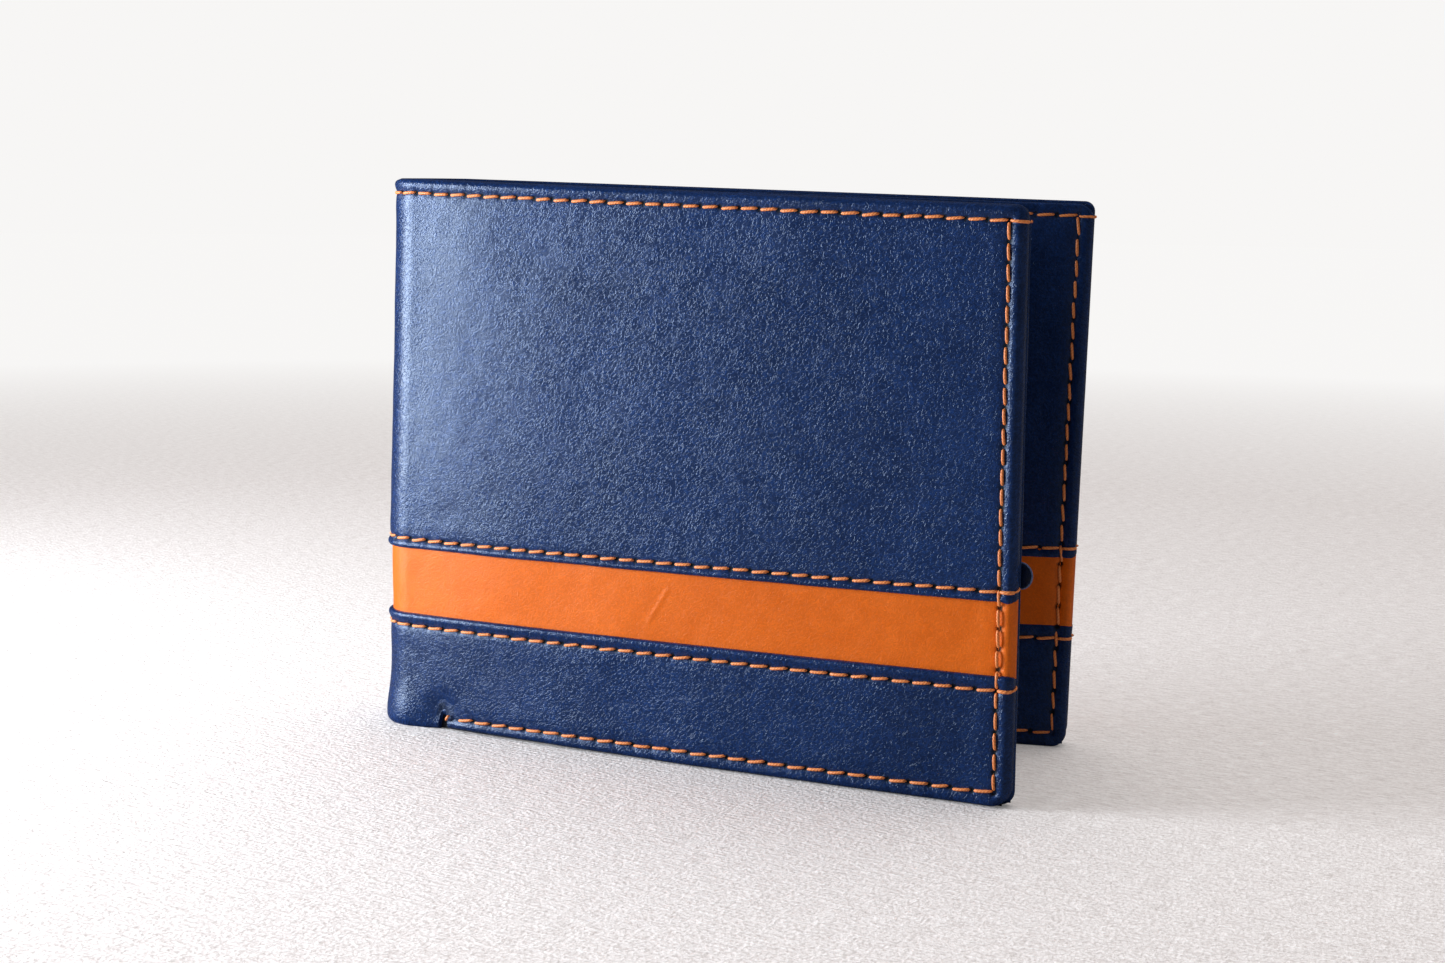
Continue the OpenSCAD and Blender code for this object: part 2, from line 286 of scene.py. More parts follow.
def steps(*stretches):
    """Grid values along several stretches, each (from, to, spacing), joined end to end."""
    values = [np.array([stretches[0][0]])]
    for a, b, spacing in stretches:
        count = max(1, math.ceil(abs(b - a) / spacing))
        values.append(np.linspace(a, b, count + 1)[1:])
    return np.concatenate(values)


def edge_steps(face_end, corner, turn, tuck, way=1):
    """Grid values of a turned edge, from its corner's centre to the end of what is tucked under."""
    r_out, r_in, depth = turn
    flat = corner - r_out
    bend = flat + QUARTER * r_out
    low = bend + depth - r_out - r_in
    marks = [(0, flat, 0.3), (flat, bend, 0.2), (bend, low, 0.3), (low, low + QUARTER * r_in, 0.2),
             (low + QUARTER * r_in, low + QUARTER * r_in + tuck, 1.0)]
    start = face_end - way * corner
    return [(start + way * a, start + way * b, spacing) for a, b, spacing in marks if b > a + 1e-6]


def roll_steps(roll):
    """Grid values of a rolled border, from where it starts to the end of what is tucked under."""
    bend = roll.start + roll.way * QUARTER * roll.r_out
    low = bend + roll.way * (roll.depth - roll.r_out - roll.r_in)
    end = low + roll.way * QUARTER * roll.r_in
    marks = [(roll.start, bend, 0.12), (bend, low, 0.3), (low, end, 0.15), (end, roll.last, 0.8)]
    return [(a, b, spacing) for a, b, spacing in marks if abs(b - a) > 1e-6]


def backwards(stretches):
    return [(b, a, spacing) for a, b, spacing in reversed(stretches)]


# ------------ relief of the leather

def bump(x, width):
    """A soft hump of height 1 at 0."""
    return np.exp(-(x / width) ** 2)


def waves(x, y, length, seed, count=14):
    """Smooth random undulation of about unit size, from waves in several directions."""
    rng = np.random.default_rng(seed)
    total = np.zeros(np.broadcast(x, y).shape)
    for _ in range(count):
        angle, phase = rng.uniform(0, 2 * math.pi, 2)
        k = 2 * math.pi / (length * rng.uniform(0.7, 1.5))
        total += np.cos(k * (x * math.cos(angle) + y * math.sin(angle)) + phase)
    return total / math.sqrt(count)


class Seam:
    """A straight row of stitches from a to b on a face. border is the side, 1 or -1 to the left of
    travel, where the leather ends, and inset its width there; 0 has no puffed border."""

    def __init__(self, a, b, border=1, inset=INSET, pitch=3.5, slant=0.13, pucker=1.0, puff=0.26):
        self.a, self.b = np.array(a, float), np.array(b, float)
        self.length = float(np.linalg.norm(self.b - self.a))
        self.along = (self.b - self.a) / self.length
        self.left = np.array([-self.along[1], self.along[0]])
        self.count = max(1, round(self.length / pitch))
        self.pitch = self.length / self.count
        self.border, self.inset, self.slant = border, inset, slant
        self.pucker, self.puff = pucker, puff

    def relief(self, leather):
        """Height of the leather near the seam, and the painted shade at each point: strongest in the needle
        holes, with a thin line along the stitch groove.
        """
        d = leather - self.a
        t, across = d @ self.along, d @ self.left * (self.border or 1)
        inside = ease(t, -1.2, 0) * (1 - ease(t, self.length, self.length + 1.2))
        number = np.round(t / self.pitch)
        near = t - number * self.pitch
        needle = bump(np.hypot(near, across * 0.9), HOLE_R)
        groove = bump(across, 0.45)
        swell = 0.05 * bump(across + 2.2, 1.4)
        height = swell - GROOVE_DEPTH * groove - HOLE_DEPTH * needle * (inside > 0.5)
        # Painted shade: the needle holes and a thin line along the stitches are made darker in colour where
        # shade would fall.
        painted_shade = np.maximum(needle, 0.3 * bump(across, HOLE_R)) * inside
        if self.border:
            e = np.clip(across / self.inset, 0, 1)
            uneven = 0.75 + 0.25 * np.sin(number * 12.9898 + self.a[0])
            crease = bump(near - 0.4 * across, 0.5) + 0.5 * bump(near - 0.8 * across - 1.5, 0.3)
            puff = self.puff * np.sin(math.pi * e ** 1.4) * (across > 0)
            height = height + puff * (1 - 0.9 * self.pucker * uneven * crease * (1 - e ** 3))
        return height * inside, painted_shade

    def stitch_points(self, rings=12):
        """Points along every stitch: leather coordinates (stitch, ring, 2) and height off the leather."""
        rng = np.random.default_rng(int(self.count * 7 + abs(self.a[0]) + 3 * self.a[1]))
        index = np.arange(self.count)[:, None]
        t = 0.5 - 0.5 * np.cos(np.linspace(0, math.pi, rings))[None, :]
        gap = STITCH_GAP + 0.05 * rng.standard_normal((self.count, 1))
        at = (index * self.pitch + gap) + (self.pitch - 2 * gap) * t
        slant = self.slant * (1 + 0.3 * rng.standard_normal((self.count, 1)))
        off = slant * (2 * t - 1) + 0.04 * rng.standard_normal((self.count, 1))
        points = self.a + at[..., None] * self.along + off[..., None] * self.left
        rise = np.sin(math.pi * t) ** 0.3
        height = -0.42 + 0.5 * rise + 0.03 * rng.standard_normal((self.count, 1)) * rise
        return points, height


# ------------ meshes

def new_mesh(name, verts, faces, attributes, material):
    mesh = bpy.data.meshes.new(name)
    mesh.from_pydata([tuple(v) for v in verts], [], faces)
    for key, values in attributes.items():
        kind = "FLOAT_VECTOR" if values.ndim == 2 else "FLOAT"
        data = mesh.attributes.new(key, kind, "POINT").data
        data.foreach_set("vector" if values.ndim == 2 else "value", values.astype(np.float32).ravel())
    bm = bmesh.new()
    bm.from_mesh(mesh)
    bmesh.ops.recalc_face_normals(bm, faces=bm.faces)
    bm.to_mesh(mesh)
    bm.free()
    mesh.shade_smooth()
    mesh.set_sharp_from_angle(angle=math.radians(60))
    mesh.materials.append(material)
    obj = bpy.data.objects.new(name, mesh)
    bpy.context.scene.collection.objects.link(obj)
    return obj


def grid_faces(index):
    """The four-sided faces between a grid's numbered points."""
    faces = np.stack([index[:-1, :-1], index[1:, :-1], index[1:, 1:], index[:-1, 1:]], -1)
    return faces.reshape(-1, 4).tolist()


def shell_faces(rows, columns, pick_u, pick_v):
    """Faces of a fine front grid, a back grid of its picked lines, and the rim between them."""
    front = np.arange(rows * columns).reshape(rows, columns)
    back = rows * columns + np.arange(len(pick_u) * len(pick_v)).reshape(len(pick_u), len(pick_v))
    faces = grid_faces(front)
    rear = np.stack([back[:-1, :-1], back[:-1, 1:], back[1:, 1:], back[1:, :-1]], -1)
    faces += rear.reshape(-1, 4).tolist()
    for fixed, inner_fixed in ((0, 0), (columns - 1, len(pick_v) - 1)):
        for k in range(len(pick_u) - 1):
            fine = front[pick_u[k]:pick_u[k + 1] + 1, fixed].tolist()
            faces.append(fine + [int(back[k + 1, inner_fixed]), int(back[k, inner_fixed])])
    for fixed, inner_fixed in ((0, 0), (rows - 1, len(pick_u) - 1)):
        for k in range(len(pick_v) - 1):
            fine = front[fixed, pick_v[k]:pick_v[k + 1] + 1].tolist()
            faces.append(fine + [int(back[inner_fixed, k + 1]), int(back[inner_fixed, k])])
    return faces


def rolled_grid(face, u, v, rolls):
    """Place, normal and leather coordinates of a grid on a face, with its own borders rolled under."""
    grid = np.meshgrid(u, v, indexing="ij")
    held = list(grid)
    for roll in rolls:
        k = 0 if roll.axis == 0 else 1
        limit = np.minimum if roll.way > 0 else np.maximum
        held[k] = limit(held[k], roll.start)
    point, normal, leather = face.at(*held)
    for roll in rolls:
        point, normal, leather = roll.apply(grid[0 if roll.axis == 0 else 1], point, normal, leather)
    return point, normal, leather


def sheet_parts(face, u, v, thickness, seams=(), rolls=(), shape=None, extra=None, painted_shade=None,
                seed=0, coarse=4):
    """Vertices, faces and attributes of one sheet of leather with a plainer back. extra gives added
    height, the darkening function gives painted shade at leather coordinates, and shape moves the finished
    points."""
    point, normal, leather = rolled_grid(face, u, v, rolls)
    signed = (leather[..., 0] - MIDDLE) * (1 if face.side == "front" else -1)
    height = 0.05 * waves(signed, leather[..., 1], 19, 3) + 0.012 * waves(signed, leather[..., 1], 6, 5)
    # Painted shade per point, from the seams' needle holes and grooves and from the darkening function; the
    # material darkens the colour by it.
    recess_shade = np.zeros(height.shape)
    for seam in seams:
        extra_height, near = seam.relief(leather)
        height = height + extra_height
        recess_shade = np.maximum(recess_shade, near)
    if extra:
        height = height + extra(leather)
    if painted_shade:
        recess_shade = np.maximum(recess_shade, painted_shade(leather))
    height = height * ease(-face.facing * normal[..., 1], -0.1, 0.6)
    back = point - thickness * normal
    point = point + height[..., None] * normal
    if shape:
        point, back = shape(point), shape(back)
    rows, columns = point.shape[:2]
    pick_u = sorted(set(range(0, rows, coarse)) | {rows - 1})
    pick_v = sorted(set(range(0, columns, coarse)) | {columns - 1})
    picked = np.ix_(pick_u, pick_v)
    grain = np.stack([signed, leather[..., 1], np.full(signed.shape, float(seed))], -1)
    verts = [place(face.side, p).reshape(-1, 3) for p in (point, back[picked])]
    coords = [grain.reshape(-1, 3), grain[picked].reshape(-1, 3)]
    holes = [recess_shade.ravel(), recess_shade[picked].ravel()]
    faces = shell_faces(rows, columns, pick_u, pick_v)
    return np.concatenate(verts), faces, np.concatenate(coords), np.concatenate(holes)


def joined(parts):
    """Several vertex and face lists as one."""
    faces = []
    offset = 0
    for part_verts, part_faces, _, _ in parts:
        faces += [[i + offset for i in f] for f in part_faces]
        offset += len(part_verts)
    verts, _, coords, holes = zip(*parts)
    return np.concatenate(verts), faces, {"leather": np.concatenate(coords), "recess_shade": np.concatenate(holes)}


def piece(name, parts, finish, nodes, body=None):
    """Make a piece and tie it to its body, or across the bend when it has a side and no body. finish is
    a material and the slot of the record that it stands for; the slot is not used."""
    material, slot = finish
    verts, faces, attributes = joined(parts)
    obj = new_mesh(name, verts, faces, attributes, material)
    if body:
        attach(obj, body)
    else:
        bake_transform(obj)
    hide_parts(*nodes)
    return obj


def tubes(side, centre, normal, radius, coords, sides=8):
    """Closed round tubes along many centre lines (tube, ring, 3), with rounded ends. coords is how far
    along its row each ring is."""
    tangent = np.gradient(centre, axis=1)
    tangent /= np.maximum(np.linalg.norm(tangent, axis=-1, keepdims=True), 1e-9)
    across = np.cross(tangent, normal)
    across /= np.maximum(np.linalg.norm(across, axis=-1, keepdims=True), 1e-9)
    up = np.cross(across, tangent)
    count, rings = centre.shape[:2]
    t = 0.5 - 0.5 * np.cos(np.linspace(0, math.pi, rings))
    size = radius * np.sqrt(np.maximum(1 - (2 * np.abs(t - 0.5)) ** 14, 0.1))
    angle = np.linspace(0, 2 * math.pi, sides, endpoint=False)
    ring = (np.cos(angle)[:, None] * across[:, :, None, :] + np.sin(angle)[:, None] * up[:, :, None, :])
    verts = centre[:, :, None, :] + size[None, :, None, None] * ring
    faces = []
    for tube in range(count):
        base = tube * rings * sides
        for r in range(rings - 1):
            for k in range(sides):
                j = (k + 1) % sides
                faces.append([base + r * sides + k, base + r * sides + j,
                              base + (r + 1) * sides + j, base + (r + 1) * sides + k])
        faces.append([base + k for k in range(sides)])
        faces.append([base + (rings - 1) * sides + k for k in range(sides)])
    along = coords[..., None]
    own = 3.7 * np.arange(count)[:, None, None]
    grain = np.stack(np.broadcast_arrays(along, angle * radius, own), -1)
    return place(side, verts.reshape(-1, 3)), faces, grain.reshape(-1, 3), np.zeros(count * rings * sides)


def stitch_part(face, seam, sink=0.0):
    """All the stitches of one row, as tubes that dive into the leather at both ends."""
    points, height = seam.stitch_points()
    point, normal, _ = face.at(points[..., 0], points[..., 1])
    centre = point + (height - sink)[..., None] * normal
    along = (points - seam.a) @ seam.along
    return tubes(face.side, centre, normal, THREAD_R, along)


def wrap_part(face, z, s0, s1, drop=0.0, radius=0.24):
    """A single thread over the free edge, from s0 on the face to a run s1 round the side."""
    t = 0.5 - 0.5 * np.cos(np.linspace(0, math.pi, 17))[None, :]
    u = s0 + (s1 - s0) * t
    point, normal, _ = face.at(u, z - drop * t)
    height = -0.45 + 0.62 * np.sin(math.pi * t) ** 0.3
    centre = point + height[..., None] * normal
    return tubes(face.side, centre, normal, radius, u)


# ------------ materials

class Nodes:
    """A material's node tree, with short calls for the nodes used here."""

    def __init__(self, name):
        self.material = bpy.data.materials.new(name)
        self.material.use_nodes = True
        self.tree = self.material.node_tree
        self.shader = self.tree.nodes["Principled BSDF"]

    def add(self, kind, inputs=None, **settings):
        node = self.tree.nodes.new(kind)
        for key, value in settings.items():
            setattr(node, key, value)
        for key, value in (inputs or {}).items():
            self.set(node.inputs[key], value)
        return node

    def set(self, socket, value):
        if isinstance(value, bpy.types.NodeSocket):
            self.tree.links.new(value, socket)
        else:
            socket.default_value = value

    def leather_coordinates(self):
        return self.add("ShaderNodeAttribute", attribute_name="leather").outputs["Vector"]

    def noise(self, vector, scale, detail=2.0, roughness=0.5, distortion=0.0):
        inputs = {"Vector": vector, "Scale": scale, "Detail": detail, "Roughness": roughness,
                  "Distortion": distortion}
        return self.add("ShaderNodeTexNoise", inputs).outputs["Fac"]

    def cells(self, vector, scale):
        """The distance to the nearest border between cells."""
        inputs = {"Vector": vector, "Scale": scale}
        return self.add("ShaderNodeTexVoronoi", inputs, feature="DISTANCE_TO_EDGE").outputs["Distance"]

    def stretch(self, vector, angle, scale):
        """Coordinates turned by an angle in degrees and then scaled along each axis."""
        turned = self.add("ShaderNodeMapping", {"Vector": vector, "Rotation": (0, 0, math.radians(angle))})
        return self.add("ShaderNodeMapping", {"Vector": turned.outputs[0], "Scale": scale}).outputs[0]

    def remap(self, value, a, b, c, d):
        return self.add("ShaderNodeMapRange", {"Value": value, "From Min": a, "From Max": b,
                        "To Min": c, "To Max": d}).outputs[0]

    def math(self, operation, a, b):
        node = self.add("ShaderNodeMath", operation=operation)
        self.set(node.inputs[0], a)
        self.set(node.inputs[1], b)
        return node.outputs[0]

    def mix(self, factor, a, b):
        node = self.add("ShaderNodeMix", data_type="RGBA")
        self.set(node.inputs["Factor"], factor)
        self.set(node.inputs[6], a)
        self.set(node.inputs[7], b)
        return node.outputs[2]

    def relief(self, height, distance, below=None, invert=False):
        """A bump normal, on top of the one below it."""
        inputs = {"Height": height, "Distance": distance}
        if below is not None:
            inputs["Normal"] = below
        return self.add("ShaderNodeBump", inputs, invert=invert).outputs[0]

    def finish(self, color, roughness, normal, **constants):
        self.set(self.shader.inputs["Base Color"], color)
        self.set(self.shader.inputs["Roughness"], roughness)
        self.set(self.shader.inputs["Normal"], normal)
        for key, value in constants.items():
            self.shader.inputs[key.replace("_", " ")].default_value = value
        return self.material


def leather(name, deep, light, painted_shade_color, rough=(0.19, 0.29), grain=1.0, specular=0.5, tint=(1, 1, 1, 1),
            shade=0.48):
    """Satin leather: short slanting creases and fine pebbles, with soft changes of colour. grain scales the
    relief, and shade is how much painted shade the valleys between the creases get: the valleys and pits are
    made darker, partly the leather's own colour and partly painted shade of its relief."""
    n = Nodes(name)
    where = n.leather_coordinates()
    slanting = n.stretch(where, -42, (0.7, 1.25, 1.0))
    dashes = n.noise(slanting, 2.4, detail=1.0, roughness=0.4, distortion=1.2)
    pebbles = n.noise(where, 3.6, detail=0.0)
    creases = n.cells(n.stretch(where, -38, (0.3, 0.9, 1.0)), 0.8)
    field = n.noise(n.stretch(where, -42, (0.85, 1.2, 1.0)), 1.6, detail=1.0, distortion=0.6)
    ridges = n.remap(n.math("ABSOLUTE", n.math("SUBTRACT", field, 0.5), 0), 0.0, 0.08, 1.0, 0.0)
    valleys = n.remap(ridges, 0.0, 1.0, shade, 0.0)
    crease_lines = n.remap(creases, 0.0, 0.12, 1.0, 0.0)
    sparse = n.remap(n.noise(where, 0.35, detail=1.0), 0.5, 0.68, 0.0, 1.0)
    lines = n.math("MULTIPLY", crease_lines, sparse)
    broad = n.noise(where, 0.055, detail=3.0, roughness=0.55)
    patches = n.noise(where, 0.4, detail=2.0)
    tone = n.math("ADD", n.math("MULTIPLY", broad, 0.65), n.math("MULTIPLY", patches, 0.35))
    color = n.mix(n.remap(tone, 0.36, 0.62, 0.0, 1.0), deep, light)
    # The pits and valleys of the grain are darkened: partly the leather's own colour, partly painted shade
    # of the relief.
    pits = n.remap(dashes, 0.3, 0.5, 0.45, 0.0)
    color = n.mix(pits, color, deep)
    color = n.mix(valleys, color, painted_shade_color)
    # Painted shade carried on the mesh: needle holes, stitch grooves and the hollow by the notch are
    # darkened in colour.
    recess_shade = n.add("ShaderNodeAttribute", attribute_name="recess_shade").outputs["Fac"]
    color = n.mix(n.remap(recess_shade, 0.15, 0.55, 0.0, 1.0), color, painted_shade_color)
    height = n.relief(dashes, 0.000025 * grain)
    height = n.relief(pebbles, 0.000012 * grain, height)
    height = n.relief(ridges, 0.00002 * grain, height)
    height = n.relief(lines, 0.000015 * grain, height, invert=True)
    roughness = n.remap(n.math("ADD", n.math("MULTIPLY", patches, 0.5), n.math("MULTIPLY", dashes, 0.5)),
                        0.3, 0.7, *rough)
    roughness = n.math("ADD", roughness, n.math("MULTIPLY", valleys, 0.06))
    roughness = n.math("ADD", roughness, n.math("MULTIPLY", recess_shade, 0.5))
    return n.finish(color, roughness, height, Specular_IOR_Level=specular, Specular_Tint=tint)


def thread_material(name, color, ends):
    """Glossy twisted thread: slanting plies along each stitch."""
    n = Nodes(name)
    where = n.leather_coordinates()
    plies = n.add("ShaderNodeTexWave", {"Vector": n.stretch(where, 35, (1, 1, 1)), "Scale": 0.75,
                  "Distortion": 0.6, "Detail": 1.0}, wave_type="BANDS", bands_direction="X").outputs["Fac"]
    fibres = n.noise(n.stretch(where, 35, (6, 1.5, 1)), 1.6, detail=2.0)
    tone = n.math("ADD", n.math("MULTIPLY", plies, 0.6), n.math("MULTIPLY", fibres, 0.4))
    shade = n.mix(n.remap(tone, 0.25, 0.75, 0.0, 1.0), ends, color)
    normal = n.relief(plies, 0.00003)
    normal = n.relief(fibres, 0.00002, normal)
    return n.finish(shade, n.remap(fibres, 0.3, 0.7, 0.38, 0.55), normal, Specular_IOR_Level=0.5)


def cloth(name, deep, light):
    """Plain woven lining."""
    n = Nodes(name)
    where = n.leather_coordinates()
    inputs = {"Vector": where, "Scale": 0.9, "Distortion": 0.5, "Detail": 1.0}
    warp, weft = [n.add("ShaderNodeTexWave", inputs, bands_direction=way).outputs["Fac"] for way in "XY"]
    weave = n.math("MULTIPLY", warp, weft)
    uneven = n.noise(where, 0.5, detail=3.0)
    color = n.mix(n.math("MULTIPLY", weave, uneven), deep, light)
    return n.finish(color, n.remap(uneven, 0.3, 0.7, 0.6, 0.8), n.relief(weave, 0.00005))


def board(name, deep, light):
    """Grey-brown card with flecks of fibre."""
    n = Nodes(name)
    where = n.add("ShaderNodeTexCoord").outputs["Object"]
    fibres = n.noise(n.stretch(where, 20, (900, 2600, 900)), 1.0, detail=3.0)
    clouds = n.noise(where, 160, detail=2.0)
    color = n.mix(n.math("MULTIPLY", fibres, clouds), deep, light)
    return n.finish(color, n.remap(clouds, 0.3, 0.7, 0.8, 0.95), n.relief(fibres, 0.00004))


SEEN = 0.96
BACKDROP = (0.97, 0.96, 0.95, 1)


def table_cloth(name, near=0.35, far=0.8, glow=0.15):
    """Pale linen that melts into the bright backdrop with the distance from the wallet. Near the wallet it
    glows a little for camera rays, painted light that lifts its shadows, and it is painted darker in
    reflections.
    """
    n = Nodes(name)
    where = n.add("ShaderNodeTexCoord").outputs["Object"]
    slubs = n.noise(n.stretch(where, 8, (300, 1500, 300)), 1.0, detail=4.0)
    weave = n.noise(where, 1500, detail=2.0)
    tone = n.math("ADD", n.math("MULTIPLY", slubs, 0.6), n.math("MULTIPLY", weave, 0.4))
    color = n.mix(n.remap(tone, 0.3, 0.7, 0.0, 1.0), (0.60, 0.53, 0.51, 1), (0.99, 0.94, 0.93, 1))
    distance = n.add("ShaderNodeVectorMath", {0: where}, operation="LENGTH").outputs["Value"]
    rays = n.add("ShaderNodeLightPath")
    seen = rays.outputs["Is Camera Ray"]
    # Painted darker reflection: rays that reflect off the leather see the table as dark grey, so the leather
    # reflects little of it.
    color = n.mix(rays.outputs["Is Glossy Ray"], color, (0.16, 0.15, 0.15, 1))
    # For camera rays the table glows a little even near the wallet (glow), painted light that lifts its
    # shadows, and further off it turns into the evenly bright backdrop.
    fade = n.math("MULTIPLY", n.remap(distance, near, far, glow, 1.0), seen)
    color = n.mix(n.remap(fade, glow, 1.0, 0.0, 1.0), color, (0, 0, 0, 1))
    n.set(n.shader.inputs["Emission Strength"], n.math("MULTIPLY", fade, SEEN))
    n.set(n.shader.inputs["Emission Color"], BACKDROP)
    n.set(n.shader.inputs["Specular IOR Level"], 0.1)
    return n.finish(color, n.remap(weave, 0.3, 0.7, 0.8, 0.95), n.relief(tone, 0.0008))


# Colour of the painted shade in needle holes, stitch grooves, the notch hollow and the valleys of the grain.
NAVY_SHADE_COLOR = (0.001, 0.001, 0.003, 1)
NAVY = (leather("navy_leather", (0.0062, 0.0262, 0.11, 1), (0.0100, 0.0395, 0.16, 1), NAVY_SHADE_COLOR,
                tint=(0.63, 0.77, 1.0, 1)), "navy_leather")
# The third colour is the orange leather's painted shade colour.
ORANGE = (leather("orange_leather", (0.77, 0.13, 0.002, 1), (0.86, 0.155, 0.004, 1), (0.02, 0.004, 0.002, 1),
                  rough=(0.36, 0.46), grain=0.6, specular=0.35, tint=(1, 0.9, 0.6, 1), shade=0.14),
          "orange_leather")
THREAD = (thread_material("orange_thread", (0.95, 0.33, 0.1, 1), (0.82, 0.22, 0.055, 1)), "orange_thread")
LINING = (cloth("dark_lining", (0.004, 0.006, 0.014, 1), (0.02, 0.028, 0.06, 1)), "dark_lining")
BOARD = (board("board", (0.14, 0.12, 0.10, 1), (0.32, 0.29, 0.25, 1)), "board")
# Painted shade: a darker copy of the navy leather for the tab, which lies in shade.
TAB = (leather("tab_leather_painted_shade", (0.002, 0.008, 0.034, 1), (0.003, 0.012, 0.05, 1), NAVY_SHADE_COLOR,
               grain=0.5, specular=0.3), "navy_leather")
# Painted highlight: light blue leather for the thin line along the tab's edge.
TAB_RIM_HIGHLIGHT = (leather("tab_rim_highlight", (0.10, 0.16, 0.34, 1), (0.20, 0.30, 0.52, 1), (0.01, 0.01, 0.02, 1), grain=0.3),
        "navy_leather")


# ------------ the covers

FREE = LEAF - TOP_CORNER
EDGE_ZONE = LEAF - 9.0
SCRATCH = (49.6, 26.2)
LEAF_STEPS = [(MIDDLE, -BEND, 0.5), (-BEND, 4.0, 0.33), (4.0, EDGE_ZONE, 0.36)]
NOTCH_STEPS = [(MIDDLE, -BEND, 0.5), (-BEND, NOTCH_S - 3, 0.35), (NOTCH_S - 3, NOTCH_S + 3, 0.2),
               (NOTCH_S + 3, EDGE_ZONE, 0.36)]

TOP_ROW = Seam((MIDDLE, TOP_Z), (SIDE_SEAM_S, TOP_Z), pucker=0.15)
SIDE_ROW = Seam((SIDE_SEAM_S, TOP_Z), (SIDE_SEAM_S, INSET), pitch=3.1, slant=0.06)
BAND_SIDE_ROW = Seam((SIDE_SEAM_S, TOP_Z), (SIDE_SEAM_S, INSET), pitch=3.1, pucker=0.2)
UPPER_ROW = Seam((MIDDLE, TOP_SEAM), (SIDE_SEAM_S, TOP_SEAM), border=-1, inset=UPPER_INSET, pucker=0.25)
LOWER_ROW = Seam((MIDDLE, LOW_SEAM), (SIDE_SEAM_S, LOW_SEAM), inset=LOWER_INSET, pucker=0.3)
BOTTOM_ROW = Seam((NOTCH_S + 3.2, INSET), (SIDE_SEAM_S, INSET), border=-1, pucker=0.5)
KNOT = Seam((NOTCH_S + 0.6, INSET - 0.3), (NOTCH_S + 1.9, INSET + 0.5), border=0, pitch=1.5)


def notched(point):
    """Lift the bottom edge into the small notch where the edge stitching starts, and a little after it."""
    s, z = point[..., 0], point[..., 2]
    gap = 1 - ease(np.abs(s - NOTCH_S), NOTCH_HALF - 0.25, NOTCH_HALF + 0.35)
    after = ease(s, NOTCH_S, NOTCH_S + 1.5) * (1 - ease(s, NOTCH_S + 2, 60))
    lifted = point.copy()
    lifted[..., 1] += 0.5 * gap * (1 - ease(z, 1.0, 5.0))
    lifted[..., 2] += NOTCH_H * gap * (1 - ease(z, 0.5, 6.5)) + 0.35 * after * (1 - ease(z, 0, 3))
    return lifted


def lobe(s, z):
    """The unstitched bottom of the spine bulges, and dips beside the first stitch."""
    bulge = 0.8 * (1 - ease(s, -1.0, NOTCH_S - 0.6)) * bump(z - 1.5, 5.0)
    dip = -0.8 * bump(s - NOTCH_S - 0.3, 3.0) * bump(z - 3.4, 2.6)
    return bulge + dip


def bead(z, edge, way, size):
    """A proud roll along a panel's edge beside the band."""
    return size * bump(z - (edge - way * 0.55), 0.6)


def upper_relief(at):
    return bead(at[..., 1], BAND_TOP, -1, 0.1)


def lower_relief(at):
    s, z = at[..., 0], at[..., 1]
    return lobe(s, z) + bead(z, BAND_LOW, 1, 0.16)


def notch_shade(at):
    """Painted shade in the soft hollow round the notch."""
    s, z = at[..., 0], at[..., 1]
    return 0.42 * bump(s - NOTCH_S - 0.3, 2.2) * bump(z - 2.8, 2.0)


def scratch(at):
    """A faint slanting crease in the band."""
    s, z = at[..., 0] - SCRATCH[0], at[..., 1] - SCRATCH[1]
    along, across = s * 0.53 + z * 0.85, s * 0.85 - z * 0.53
    return 0.12 * bump(across, 0.25) * ease(along, -4.2, -3.0) * (1 - ease(along, 2.5, 4.2))


